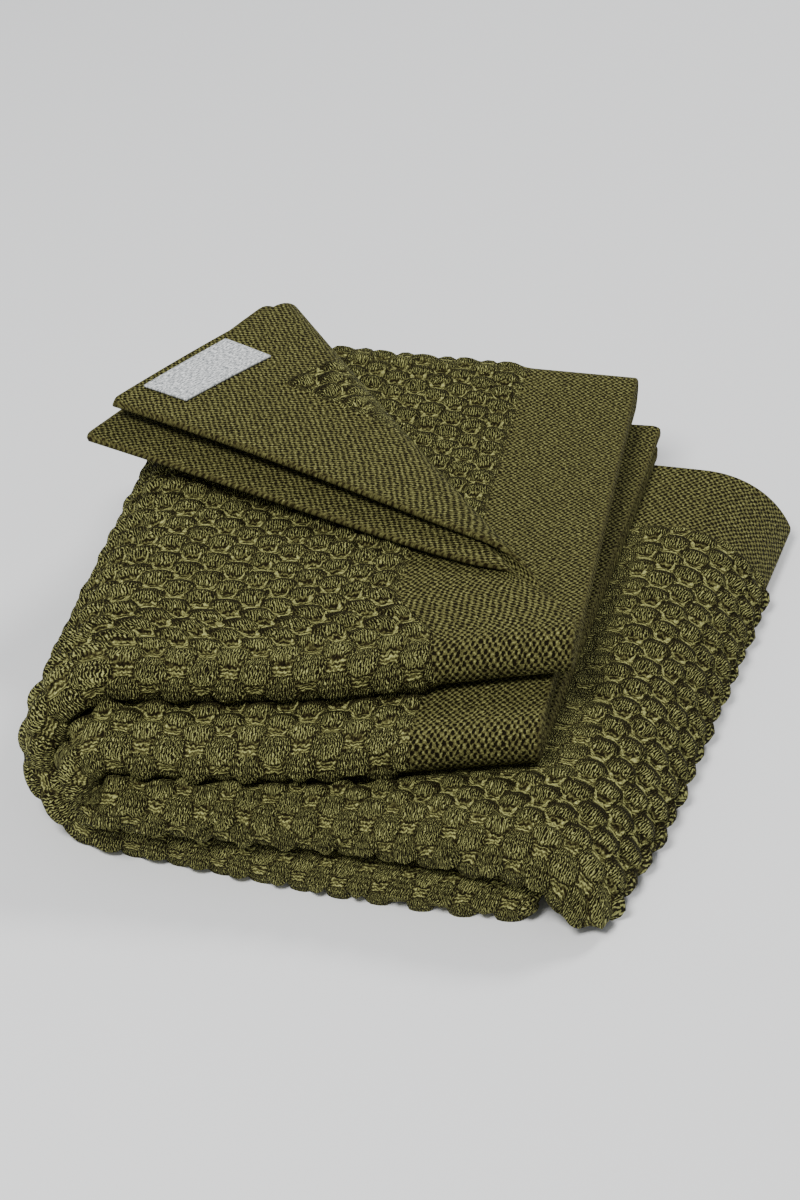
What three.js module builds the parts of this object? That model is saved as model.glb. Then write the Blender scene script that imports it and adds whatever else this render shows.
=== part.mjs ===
// Knitted baby blanket, folded into a pile with one double corner turned back.
//
// The cloth is one sheet. u runs across it from side edge to side edge and v runs
// down it from the first edge to the last. It is folded in half across u, pleated
// back and forth along v into four pairs of layers, and the pleated stack is folded
// once more to the left. The free corner of the top pair is then rolled back.
// Millimetres, +Z up, the front folds face -Y, and the pile stands on z = 0.

import * as THREE from 'three';

const blanketWidth = 800;
const blanketLength = 1000;
const clothThickness = 2.9;
const layerPitch = 4.1;
const cornerRadius = 5;
const cornerBlend = 40;

const labelWidth = 45;
const labelHeight = 22.5;
const labelThickness = 0.9;
const labelFromSide = 13.5;
const labelFromEdge = 5.5;
const labelGap = 0.35;
const labelStepsAcross = 4;
const labelStepsDown = 2;

// Lengths of the first three pleats, and of the arc that joins two pleats.
const pleat1 = 244;
const pleat2 = 240;
const pleat3 = 240;
const pleatArc = Math.PI * layerPitch;
const pleat4 = blanketLength - pleat1 - pleat2 - pleat3 - 3 * pleatArc;

// Heights over the line about which the eight layers of a half turn at the left, in pitches:
// the middle of each pleated pair, and the middle of the arc that joins two pairs.
const pairHeights = { pleat1: 7, pleat2: 5, pleat3: 3, pleat4: 1 };
const arcHeights = { front12: 6, back: 4, front34: 2 };
const halfHeight = (pairHeights.pleat1 + 0.5) * layerPitch + clothThickness / 2;
const turnX = -79;
const rightEndX = 75;

// The lower half runs flat to lowFlatX and on by the reach of each pair of layers. There
// each pair bends down over the ends of those beneath it, by its own angle in radians.
// The top pair of the sheet comes first, which lies lowest here, and one pair's value
// passes into the next between two distances from the turning line, in layer pitches.
const lowFlatX = 90;
const droopRadius = 40;
const reachOfPairs = [8, 0, 0, 0];
const droopOfPairs = [0, 0.55, 1.16, 1.22];
const betweenPairs = [[4.7, 7.3], [3, 5], [1.5, 2.5]];
const lieRunPastFlat = 30;

// How far single layers slip past the others at the right end.
const slipAtFront = 7;
const slipAtBack = 12;
const slipOfTopPair = { outer: 20, inner: 14, depth: 0.15 };

// Uneven lie of the pile: fuller folds at the front right, a lower half that fans out
// and is drawn in at its front corner. Each runs from one x or y to another.
const frontDepth = 0.9;
const frontGrowth = { share: 0.22, lift: 3, liftFrom: 0.2, fromX: -60, toX: 90 };
const fan = { slope: 0.16, centreY: -2, toX: 120, front: 3, frontFromX: 70, frontToX: 125 };
const cornerDraw = { by: 5, fromY: 70, toY: 140 };

// Places of the fold lines and free edges in y, read round the pile: 0 is the right end
// of the upper half, 1 the start of the left turn, 2 its end, 3 the lower right end.
const lieTable = [
  { at: 0.0, front12: -71, front34: -98, back: 130, firstA: 140, firstB: 136, lastA: 112, lastB: 124 },
  { at: 0.5, front12: -92, front34: -117, back: 130, firstA: 135, firstB: 131, lastA: 112, lastB: 118 },
  { at: 1.0, front12: -104, front34: -125, back: 130, firstA: 131, firstB: 127, lastA: 110, lastB: 110 },
  { at: 2.0, front12: -127, front34: -134, back: 112, firstA: 112, firstB: 112, lastA: 108, lastB: 104 },
  { at: 2.6, front12: -137, front34: -134, back: 102, firstA: 106, firstB: 106, lastA: 107, lastB: 101 },
  { at: 3.0, front12: -136, front34: -140, back: 96, firstA: 100, firstB: 100, lastA: 106, lastB: 98 },
];

// The turned-back corner: each sheet of the top pair rolls over the same slanting line,
// which starts at the apex on the side edge, on a roll that widens away from it.
const rollApex = { x: 56.5, y: -57 };
const rollDirection = THREE.MathUtils.degToRad(128.3);
const rolls = {
  outer: { radius: 2.6, widening: 0.03, restHeight: 5.4, spring: 0.42, settle: 95, crown: 0, crownWidth: 80 },
  inner: { radius: 7.4, widening: 0.035, restHeight: 14, spring: 0.7, settle: 60, crown: 3, crownWidth: 120 },
};
const rollBlend = 25;
const rollStart = 25;

// Fineness of the faceted solid.
const chordError = 0.35;
const maxStep = 48;
const walkStep = 1;
const zipReach = 40;
const arcSteps = 6;
const topPleatSteps = 26;
const hiddenPleatSteps = 6;
const lengthCost = 1e-4;
const tiny = 1e-6;

const knitMaterial = new THREE.MeshStandardMaterial({ color: '#5d5c2d', roughness: 0.95, metalness: 0 });
const feltMaterial = new THREE.MeshStandardMaterial({ color: '#a9abab', roughness: 0.9, metalness: 0 });

const clamp = (value, low, high) => Math.min(Math.max(value, low), high);

function smooth(value, low, high) {
  const k = clamp((value - low) / (high - low), 0, 1);
  return k * k * (3 - 2 * k);
}

// Smooth curve through one column of the lie table.
function lieAt(position, column) {
  const last = lieTable.length - 1;
  let i = 0;
  while (i < last - 1 && position >= lieTable[i + 1].at) i += 1;
  const slope = (k) => {
    if (k === 0 || k === last) {
      const j = k === 0 ? 0 : last - 1;
      return (lieTable[j + 1][column] - lieTable[j][column]) / (lieTable[j + 1].at - lieTable[j].at);
    }
    const before = lieTable[k].at - lieTable[k - 1].at;
    const after = lieTable[k + 1].at - lieTable[k].at;
    const later = (lieTable[k + 1][column] - lieTable[k][column]) / after;
    const earlier = (lieTable[k][column] - lieTable[k - 1][column]) / before;
    return (later * before + earlier * after) / (before + after);
  };
  const step = lieTable[i + 1].at - lieTable[i].at;
  const t = clamp((position - lieTable[i].at) / step, 0, 1);
  const t2 = t * t;
  const t3 = t2 * t;
  return (2 * t3 - 3 * t2 + 1) * lieTable[i][column] + (t3 - 2 * t2 + t) * step * slope(i)
    + (3 * t2 - 2 * t3) * lieTable[i + 1][column] + (t3 - t2) * step * slope(i + 1);
}

// Half fold across u: distance from the side edges along the middle of the cloth, the turn
// of the fold so far, and how far off the middle of the pair the cloth lies.
function halfFold(u) {
  const radius = layerPitch / 2;
  const flat = blanketWidth / 2 - (Math.PI * radius) / 2;
  const turned = clamp((u - flat) / radius, 0, Math.PI);
  const alongFlat = clamp(Math.min(u, blanketWidth - u), 0, flat);
  return { along: alongFlat + radius * Math.sin(turned), turned, side: radius * Math.cos(turned) };
}

// Pleats along v: which pleat or arc, how far along it, and the layer's height in the half pile.
function pleat(v, side) {
  const p = layerPitch;
  const parts = [
    { name: 'pleat1', length: pleat1 }, { name: 'front12', length: pleatArc },
    { name: 'pleat2', length: pleat2 }, { name: 'back', length: pleatArc },
    { name: 'pleat3', length: pleat3 }, { name: 'front34', length: pleatArc },
    { name: 'pleat4', length: pleat4 },
  ];
  let i = 0;
  let rest = v;
  while (i < parts.length - 1 && rest > parts[i].length) {
    rest -= parts[i].length;
    i += 1;
  }
  const part = parts[i].name;
  const t = clamp(rest / parts[i].length, 0, 1);
  const c = Math.cos(Math.PI * t);
  const height = {
    pleat1: pairHeights.pleat1 * p + side, front12: arcHeights.front12 * p + (p + side) * c,
    pleat2: pairHeights.pleat2 * p - side, back: arcHeights.back * p + (p - side) * c,
    pleat3: pairHeights.pleat3 * p + side, front34: arcHeights.front34 * p + (p + side) * c,
    pleat4: pairHeights.pleat4 * p - side,
  }[part];
  const depth = { pleat1: 1 - t, front12: 0, pleat2: t, back: 1, pleat3: 1 - t, front34: 0, pleat4: t }[part];
  return { part, t, height, depth };
}

function pleatY(lay, side, position) {
  const p = layerPitch;
  const bow = Math.sin(Math.PI * lay.t);
  const towardsB = 0.5 - 0.5 * clamp(side / (p / 2), -1, 1);
  const mix = (a, b) => lieAt(position, a) * (1 - towardsB) + lieAt(position, b) * towardsB;
  const front12 = lieAt(position, 'front12');
  const front34 = lieAt(position, 'front34');
  const back = lieAt(position, 'back');
  if (lay.part === 'pleat1') return THREE.MathUtils.lerp(mix('firstA', 'firstB'), front12, lay.t);
  if (lay.part === 'front12') return front12 - (p + side) * bow;
  if (lay.part === 'pleat2') return THREE.MathUtils.lerp(front12, back, lay.t);
  if (lay.part === 'back') return back + (p - side) * bow;
  if (lay.part === 'pleat3') return THREE.MathUtils.lerp(back, front34, lay.t);
  if (lay.part === 'front34') return front34 - (p + side) * bow;
  return THREE.MathUtils.lerp(front34, mix('lastA', 'lastB'), lay.t);
}

// Value of a table of the four pairs for a layer at this distance from the turning line.
function ofPairs(table, r) {
  return betweenPairs.reduce((sum, [from, to], i) => (
    sum + (table[i] - table[i + 1]) * smooth(r, from * layerPitch, to * layerPitch)
  ), table[table.length - 1]);
}

// How far a layer reaches past the common right end, or less far where it is negative.
function slipOf(lay, side) {
  const atFront = -slipAtFront * (1 - lay.depth);
  if (lay.part === 'pleat1') {
    const towardsInner = clamp(-side / (layerPitch / 2), 0, 1);
    const topSlip = THREE.MathUtils.lerp(slipOfTopPair.outer, slipOfTopPair.inner, towardsInner);
    return -topSlip * smooth(lay.depth, 0, slipOfTopPair.depth);
  }
  if (lay.part === 'pleat3' || lay.part === 'front34') return atFront;
  return lay.part === 'pleat4' ? atFront + slipAtBack * lay.depth : 0;
}

// Route of a layer: flat above, half turn at the left, flat below, droop at the right.
// r is the layer's own distance from the turning line and rAt that of the wanted face.
// plainX and plainZ tell where the point would lie if the upper half ran on flat.
function route(along, bulge, side, lay, rAt) {
  const r = lay.height;
  const end = rightEndX + slipOf(lay, side);
  const upper = end - turnX;
  const turn = Math.PI * r;
  const lower = lowFlatX - turnX + ofPairs(reachOfPairs, r);
  const bend = droopRadius - r;
  const droop = ofPairs(droopOfPairs, r);
  const s = (along * (upper + turn + lower + bend * droop)) / (blanketWidth / 2) + bulge;
  const plain = { plainX: end - s, plainZ: halfHeight + rAt };
  if (s <= upper) {
    return { ...plain, x: end - s, z: halfHeight + rAt, position: s / upper };
  }
  if (s <= upper + turn) {
    const angle = (s - upper) / r;
    const x = turnX - rAt * Math.sin(angle);
    return { ...plain, x, z: halfHeight + rAt * Math.cos(angle), position: 1 + (s - upper) / turn };
  }
  const run = s - upper - turn;
  const past = Math.max(run - lower, 0) / bend;
  const angle = Math.min(past, droop);
  const tail = (past - angle) * bend;
  const x = turnX + Math.min(run, lower) + (droopRadius - rAt) * Math.sin(angle) + tail * Math.cos(angle);
  const drop = droopRadius - (droopRadius - rAt) * Math.cos(angle) + tail * Math.sin(angle);
  const z = halfHeight - (run <= lower ? rAt : drop);
  return { ...plain, x, z, position: 2 + clamp(run / (lower + lieRunPastFlat), 0, 1) };
}

// Roll one sheet of the top pair back over the slanting line.
function rollBack(flat, lain, isOuter) {
  const roll = isOuter ? rolls.outer : rolls.inner;
  const level = halfHeight + (pairHeights.pleat1 + (isOuter ? 0.5 : -0.5)) * layerPitch;
  const dx = flat.x - rollApex.x;
  const dy = flat.y - rollApex.y;
  const reach = Math.hypot(dx, dy) + tiny;
  let swing = rollDirection - Math.atan2(dy, dx);
  if (swing > Math.PI) swing -= 2 * Math.PI;
  if (swing <= 0) return lain;
  const gx = Math.cos(rollDirection);
  const gy = Math.sin(rollDirection);
  const share = smooth(dx * gx + dy * gy, 0, rollStart);
  const radius = roll.radius + roll.widening * reach;
  const offset = flat.z - level;
  const angle = clamp((swing * reach) / radius, 0, Math.PI);
  const beyond = Math.max(swing - (Math.PI * radius) / reach, 0);
  let along = reach;
  let across = (radius - offset) * Math.sin(angle);
  let rise = radius - (radius - offset) * Math.cos(angle);
  if (beyond > 0) {
    const width = reach * Math.sin(beyond);
    const settled = roll.spring + (1 - roll.spring) * Math.exp(-((width / roll.settle) ** 2));
    const crown = roll.crown * Math.sin(clamp(width / roll.crownWidth, 0, 1) * Math.PI);
    along = reach * Math.cos(beyond);
    across = -width;
    rise = roll.restHeight + (2 * radius - roll.restHeight) * settled + crown - offset;
  }
  const fade = Math.exp((-swing * reach) / rollBlend);
  const mix = (rolled, still) => THREE.MathUtils.lerp(lain[still], rolled + (lain[still] - flat[still]) * fade, share);
  return {
    x: mix(rollApex.x + along * gx + across * gy, 'x'),
    y: mix(rollApex.y + along * gy - across * gx, 'y'),
    z: mix(level + rise, 'z'),
  };
}

// Point of the folded cloth. offset is the height over the middle of the cloth,
// on the face that is outside of the half fold.
function foldedPoint(u, v, offset) {
  const nearSide = Math.min(u, blanketWidth - u);
  const inCorner = Math.max(cornerRadius - nearSide, 0);
  const cut = cornerRadius - Math.sqrt(Math.max(cornerRadius ** 2 - inCorner ** 2, 0));
  const fromFirst = clamp(1 - v / cornerBlend, 0, 1);
  const fromLast = clamp(1 - (blanketLength - v) / cornerBlend, 0, 1);
  const row = v + cut * (fromFirst - fromLast);

  const half = halfFold(u);
  const side = half.side + offset * Math.cos(half.turned);
  const lay = pleat(row, half.side);
  const rAt = pleat(row, side).height;
  const at = route(half.along, offset * Math.sin(half.turned), half.side, lay, rAt);
  const lain = { x: at.x, y: pleatY(lay, side, at.position), z: at.z };
  const flat = { x: at.plainX, y: lain.y, z: at.plainZ };

  const near = 1 - smooth(lay.depth, 0, frontDepth);
  const growth = near * smooth(lain.x, frontGrowth.fromX, frontGrowth.toX);
  const above = Math.max(lain.z - halfHeight, 0);
  const lift = frontGrowth.lift * smooth(lain.z, frontGrowth.liftFrom * halfHeight, halfHeight);
  lain.z += growth * (above * frontGrowth.share + lift);
  if (at.position > 1.5) {
    const drawn = cornerDraw.by * smooth(-lain.y, cornerDraw.fromY, cornerDraw.toY) ** 2;
    lain.x += (fan.slope * (lain.y - fan.centreY) - drawn) * smooth(lain.x, turnX, fan.toX);
    lain.y += fan.front * smooth(lain.x, fan.frontFromX, fan.frontToX) * near;
  }
  if (lay.part === 'pleat1' && at.position < 2) return rollBack(flat, lain, side > 0);
  return lain;
}

const pointOnCloth = (u, v) => {
  const at = foldedPoint(u, v, 0);
  return new THREE.Vector3(at.x, at.y, at.z);
};

// Stations across one row: each next one lies as far on as its chord stays close to the cloth.
function stationsOfRow(v) {
  const edge = blanketWidth - cornerRadius;
  const stations = [0, cornerRadius];
  const chord = new THREE.Line3(pointOnCloth(cornerRadius, v), new THREE.Vector3());
  const nearest = new THREE.Vector3();
  let passed = [];
  for (let u = cornerRadius + walkStep; u < edge; u += walkStep) {
    chord.end.copy(pointOnCloth(u, v));
    const strays = passed.some((point) => (
      chord.closestPointToPoint(point, true, nearest).distanceTo(point) > chordError
    ));
    if (strays || chord.distance() > maxStep) {
      stations.push(u - walkStep);
      chord.start.copy(pointOnCloth(u - walkStep, v));
      passed = [];
    }
    passed.push(pointOnCloth(u, v));
  }
  if (stations[stations.length - 1] > edge - walkStep) stations.pop();
  stations.push(edge, blanketWidth);
  return stations;
}

// Joins two rows by the chain of links whose middles stray least from the cloth.
function zip(here, next, v, vNext) {
  const points = [here.map((u) => pointOnCloth(u, v)), next.map((u) => pointOnCloth(u, vNext))];
  const stray = (i, k) => {
    if (Math.abs(here[i] - next[k]) > zipReach + maxStep) return Infinity;
    const middle = points[0][i].clone().add(points[1][k]).multiplyScalar(0.5);
    const onCloth = pointOnCloth((here[i] + next[k]) / 2, (v + vNext) / 2);
    return middle.distanceToSquared(onCloth) + lengthCost * points[0][i].distanceToSquared(points[1][k]);
  };
  const cost = here.map(() => next.map(() => Infinity));
  const cameFrom = here.map(() => next.map(() => null));
  for (let i = 0; i < here.length; i += 1) {
    for (let k = 0; k < next.length; k += 1) {
      const byHere = i > 0 ? cost[i - 1][k] : Infinity;
      const byNext = k > 0 ? cost[i][k - 1] : Infinity;
      const best = i === 0 && k === 0 ? 0 : Math.min(byHere, byNext);
      if (best < Infinity) {
        cost[i][k] = best + stray(i, k);
        cameFrom[i][k] = byHere <= byNext ? 'here' : 'next';
      }
    }
  }
  const steps = [];
  let i = here.length - 1;
  let k = next.length - 1;
  while (i > 0 || k > 0) {
    const step = cameFrom[i][k];
    steps.push(step);
    if (step === 'here') i -= 1;
    else k -= 1;
  }
  return steps.reverse();
}

function rowsOfCloth() {
  const rows = [0, cornerRadius];
  const addPleat = (start, length, steps) => {
    for (let i = 1; i < steps; i += 1) rows.push(start + (length * i) / steps);
  };
  const addArc = (start) => {
    for (let i = 0; i <= arcSteps; i += 1) rows.push(start + (pleatArc * i) / arcSteps);
  };
  addPleat(cornerRadius, pleat1 - cornerRadius, topPleatSteps);
  addArc(pleat1);
  addPleat(pleat1 + pleatArc, pleat2, hiddenPleatSteps);
  addArc(pleat1 + pleatArc + pleat2);
  addPleat(pleat1 + pleat2 + 2 * pleatArc, pleat3, hiddenPleatSteps);
  addArc(pleat1 + pleat2 + 2 * pleatArc + pleat3);
  addPleat(blanketLength - pleat4, pleat4 - cornerRadius, hiddenPleatSteps);
  rows.push(blanketLength - cornerRadius, blanketLength);
  return rows;
}

// Closed sheet over rows of stations: two faces, zipped row to row, and a rim.
function closedSheet(rows, stationsFor, lower, upper) {
  const positions = [];
  const indices = [];
  const rowStations = rows.map(stationsFor);
  const starts = [];
  let count = 0;
  rows.forEach((v, j) => {
    starts.push(count);
    rowStations[j].forEach((u) => {
      [lower, upper].forEach((offset) => {
        const at = foldedPoint(u, v, offset);
        positions.push(at.x, at.y, at.z);
      });
    });
    count += rowStations[j].length;
  });
  const bottom = (j, i) => 2 * (starts[j] + i);
  const top = (j, i) => bottom(j, i) + 1;
  const addBoth = (a, b, c) => {
    indices.push(a, c, b);
    indices.push(a + 1, b + 1, c + 1);
  };
  for (let j = 0; j < rows.length - 1; j += 1) {
    const here = rowStations[j];
    const next = rowStations[j + 1];
    let i = 0;
    let k = 0;
    zip(here, next, rows[j], rows[j + 1]).forEach((step) => {
      if (step === 'here') {
        addBoth(bottom(j, i), bottom(j, i + 1), bottom(j + 1, k));
        i += 1;
      } else {
        addBoth(bottom(j, i), bottom(j + 1, k + 1), bottom(j + 1, k));
        k += 1;
      }
    });
  }
  const addRim = (a, b) => {
    indices.push(a, b, a + 1, b, b + 1, a + 1);
  };
  const lastRow = rows.length - 1;
  for (let i = 0; i < rowStations[0].length - 1; i += 1) addRim(bottom(0, i), bottom(0, i + 1));
  for (let i = 0; i < rowStations[lastRow].length - 1; i += 1) addRim(bottom(lastRow, i + 1), bottom(lastRow, i));
  for (let j = 0; j < lastRow; j += 1) {
    addRim(bottom(j + 1, 0), bottom(j, 0));
    addRim(bottom(j, rowStations[j].length - 1), bottom(j + 1, rowStations[j + 1].length - 1));
  }
  const geometry = new THREE.BufferGeometry();
  geometry.setAttribute('position', new THREE.Float32BufferAttribute(positions, 3));
  geometry.setIndex(indices);
  return geometry;
}

function makeBlanket() {
  const half = clothThickness / 2;
  const geometry = closedSheet(rowsOfCloth(), stationsOfRow, -half, half);
  const blanket = new THREE.Mesh(geometry, knitMaterial);
  blanket.name = 'blanket';
  return blanket;
}

// Felt label on the face of the turned-back corner that looks up.
function makeLabel() {
  const base = clothThickness / 2 + labelGap;
  const from = blanketWidth - labelFromSide - labelWidth;
  const spread = (start, length, steps) => Array.from({ length: steps + 1 }, (_, i) => start + (length * i) / steps);
  const across = spread(from, labelWidth, labelStepsAcross);
  const down = spread(labelFromEdge, labelHeight, labelStepsDown);
  const geometry = closedSheet(down, () => across, base, base + labelThickness);
  const label = new THREE.Mesh(geometry, feltMaterial);
  label.name = 'label';
  return label;
}

const group = new THREE.Group();
group.name = 'folded_blanket';
group.add(makeBlanket(), makeLabel());

// The origin lies under the middle of the pile, on the surface that it rests on.
const box = new THREE.Box3().setFromObject(group);
group.position.set(-(box.min.x + box.max.x) / 2, -(box.min.y + box.max.y) / 2, -box.min.z);

export default group;
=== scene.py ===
# Knitted baby blanket, folded into a pile with one double corner turned back.
import math
import bpy
import numpy as np
from mathutils import Matrix, Vector


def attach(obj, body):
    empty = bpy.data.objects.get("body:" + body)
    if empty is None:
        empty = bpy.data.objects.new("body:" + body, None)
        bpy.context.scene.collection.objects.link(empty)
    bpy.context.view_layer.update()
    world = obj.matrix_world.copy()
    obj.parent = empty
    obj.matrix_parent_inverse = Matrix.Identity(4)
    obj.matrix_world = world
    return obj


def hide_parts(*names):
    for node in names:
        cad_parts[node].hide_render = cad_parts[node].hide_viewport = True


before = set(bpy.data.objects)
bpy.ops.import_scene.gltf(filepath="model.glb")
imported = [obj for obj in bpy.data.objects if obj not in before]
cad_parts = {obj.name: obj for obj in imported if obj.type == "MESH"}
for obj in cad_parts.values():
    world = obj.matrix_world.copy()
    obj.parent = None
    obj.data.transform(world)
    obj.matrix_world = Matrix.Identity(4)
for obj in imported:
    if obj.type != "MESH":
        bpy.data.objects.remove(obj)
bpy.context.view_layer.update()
print("frame loaded")

# The cloth and how it lies, in mm. u runs across the sheet and v down it.
cloth = dict(width=800.0, length=1000.0, thickness=2.9, pitch=4.1, corner=5.0, cornerBlend=40.0,
             pleats=(244.0, 240.0, 240.0), turnX=-79.0, rightEndX=75.0,
             lowFlatX=90.0, droopRadius=40.0, reaches=(8.0, 0.0, 0.0, 0.0), droops=(0.0, 0.55, 1.16, 1.22),
             betweenPairs=((4.7, 7.3), (3.0, 5.0), (1.5, 2.5)), lieRunPastFlat=30.0,
             slipAtFront=7.0, slipAtBack=12.0, slipOuter=20.0, slipInner=14.0, slipDepth=0.15,
             frontDepth=0.9, frontGrowth=0.22, frontLift=3.0, liftFrom=0.2, growthX=(-60.0, 90.0),
             fanSlope=0.16, fanCentreY=-2.0, fanToX=120.0, frontFan=3.0, frontFanX=(70.0, 125.0),
             frontCornerDraw=5.0, cornerDrawY=(70.0, 140.0), edgeRound=1.4, edgeShare=0.25)
place = np.array([-9.409, 4.455, 0.0])  # puts the middle of the pile over the origin
halfHeight = 7.5 * cloth["pitch"] + cloth["thickness"] / 2

# Fold lines and free edges in y: 0 is the right end of the upper half, 1 and 2 the left turn,
# 3 the lower end.
lieAt = [0.0, 0.5, 1.0, 2.0, 2.6, 3.0]
lie = dict(front12=[-71, -92, -104, -127, -137, -136], front34=[-98, -117, -125, -134, -134, -140],
           back=[130, 130, 130, 112, 102, 96], firstA=[140, 135, 131, 112, 106, 100],
           firstB=[136, 131, 127, 112, 106, 100], lastA=[112, 112, 110, 108, 107, 106],
           lastB=[124, 118, 110, 104, 101, 98])

# The turned-back corner: both sheets of the top pair roll over one slanting line.
apex = dict(x=56.5, y=-57.0, direction=math.radians(128.3), blend=25.0, start=25.0)
rolls = dict(outer=dict(radius=2.6, widening=0.03, restHeight=5.4, spring=0.42, settle=95.0,
                        crown=0.0, crownWidth=80.0),
             inner=dict(radius=7.4, widening=0.035, restHeight=14.0, spring=0.7, settle=60.0,
                        crown=3.0, crownWidth=120.0))


# Eases from 0 at low to 1 at high: 3 k^2 - 2 k^3.
def smooth(value, low, high):
    k = np.clip((value - low) / (high - low), 0, 1)
    return k * k * (3 - 2 * k)


# A smooth curve through one row of the table, with the slopes of its neighbours at each knot.
def lieCurve(position, name):
    t = np.array(lieAt)
    y = np.array(lie[name], float)
    m = np.gradient(y, t)
    i = np.clip(np.searchsorted(t, position, side="right") - 1, 0, len(t) - 2)
    h = t[i + 1] - t[i]
    x = np.clip((position - t[i]) / h, 0, 1)
    return ((2 * x**3 - 3 * x**2 + 1) * y[i] + (x**3 - 2 * x**2 + x) * h * m[i]
            + (3 * x**2 - 2 * x**3) * y[i + 1] + (x**3 - x**2) * h * m[i + 1])


# Pleats along v, as straight runs joined by half circles: which pleat or arc, the part of it
# passed, the layer's distance from the turning line, and the depth from front to back.
def pleat(v, side):
    p = cloth["pitch"]
    arc = math.pi * p
    first, second, third = cloth["pleats"]
    fourth = cloth["length"] - first - second - third - 3 * arc
    ends = np.cumsum([0, first, arc, second, arc, third, arc, fourth])
    seg = np.clip(np.searchsorted(ends, v, side="left") - 1, 0, 6)
    t = np.clip((v - ends[seg]) / (ends[seg + 1] - ends[seg]), 0, 1)
    c = np.cos(math.pi * t)
    height = np.choose(seg, [7 * p + side, 6 * p + (p + side) * c, 5 * p - side, 4 * p + (p - side) * c,
                             3 * p + side, 2 * p + (p + side) * c, p - side])
    depth = np.choose(seg, [1 - t, 0 * t, t, 0 * t + 1, 1 - t, 0 * t, t])
    return seg, t, height, depth


# Place in y: a straight line from one fold or edge to the next, and a sine bow round each arc.
def pleatY(seg, t, side, position):
    p = cloth["pitch"]
    bow = np.sin(math.pi * t)
    towardsB = 0.5 - 0.5 * np.clip(side / (p / 2), -1, 1)
    first = lieCurve(position, "firstA") * (1 - towardsB) + lieCurve(position, "firstB") * towardsB
    last = lieCurve(position, "lastA") * (1 - towardsB) + lieCurve(position, "lastB") * towardsB
    front12 = lieCurve(position, "front12")
    front34 = lieCurve(position, "front34")
    back = lieCurve(position, "back")
    return np.choose(seg, [first + (front12 - first) * t, front12 - (p + side) * bow,
                           front12 + (back - front12) * t, back + (p - side) * bow,
                           back + (front34 - back) * t, front34 - (p + side) * bow,
                           front34 + (last - front34) * t])


# Value of a table of the four pairs for a layer at this distance from the turning line.
def ofPairs(table, r):
    total = np.full_like(r, table[-1])
    for i, (low, high) in enumerate(cloth["betweenPairs"]):
        total += (table[i] - table[i + 1]) * smooth(r, low * cloth["pitch"], high * cloth["pitch"])
    return total


# How far a layer reaches past the common right end, or less far where it is negative.
def slipOf(seg, side, depth):
    towardsInner = np.clip(-side / (cloth["pitch"] / 2), 0, 1)
    topSlip = cloth["slipOuter"] + (cloth["slipInner"] - cloth["slipOuter"]) * towardsInner
    atFront = -cloth["slipAtFront"] * (1 - depth)
    none = 0 * depth
    return np.choose(seg, [-topSlip * smooth(depth, 0, cloth["slipDepth"]), none, none, none,
                           atFront, atFront, atFront + cloth["slipAtBack"] * depth])


# Length of a layer from the left turn to the half fold.
def lowerLength(r):
    flat = cloth["lowFlatX"] - cloth["turnX"] + ofPairs(cloth["reaches"], r)
    return flat + (cloth["droopRadius"] - r) * ofPairs(cloth["droops"], r)


# Route of a layer in x and z: flat above, half turn at the left, flat below, droop at the right.
def route(along, bulge, slip, r, rAt):
    end = cloth["rightEndX"] + slip
    upper = end - cloth["turnX"]
    turn = math.pi * r
    lower = cloth["lowFlatX"] - cloth["turnX"] + ofPairs(cloth["reaches"], r)
    bend = cloth["droopRadius"] - r
    droop = ofPairs(cloth["droops"], r)
    s = along * (upper + turn + lowerLength(r)) / (cloth["width"] / 2) + bulge
    swing = np.clip((s - upper) / r, 0, math.pi)
    run = np.maximum(s - upper - turn, 0)
    past = np.maximum(run - lower, 0) / bend
    angle = np.minimum(past, droop)
    tail = (past - angle) * bend
    outOfTurn = run > 0
    x = np.where(s <= upper, end - s, cloth["turnX"] - rAt * np.sin(swing))
    x = np.where(outOfTurn, cloth["turnX"] + np.minimum(run, lower)
                 + (cloth["droopRadius"] - rAt) * np.sin(angle) + tail * np.cos(angle), x)
    z = halfHeight + rAt * np.cos(swing)
    drop = cloth["droopRadius"] - (cloth["droopRadius"] - rAt) * np.cos(angle) + tail * np.sin(angle)
    z = np.where(run > lower, halfHeight - drop, z)
    position = np.where(outOfTurn, 2 + np.clip(run / (lower + cloth["lieRunPastFlat"]), 0, 1),
                        1 + (s - upper) / turn)
    return x, z, np.where(s <= upper, s / upper, position), end - s, halfHeight + rAt, upper


# Turn from the roll line to a point as seen from the apex, its distance, and the share of the roll there.
def swingAt(x, y):
    dx = x - apex["x"]
    dy = y - apex["y"]
    swing = apex["direction"] - np.arctan2(dy, dx)
    share = smooth(dx * math.cos(apex["direction"]) + dy * math.sin(apex["direction"]), 0, apex["start"])
    return np.where(swing > math.pi, swing - 2 * math.pi, swing), np.hypot(dx, dy) + 1e-6, share


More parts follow.
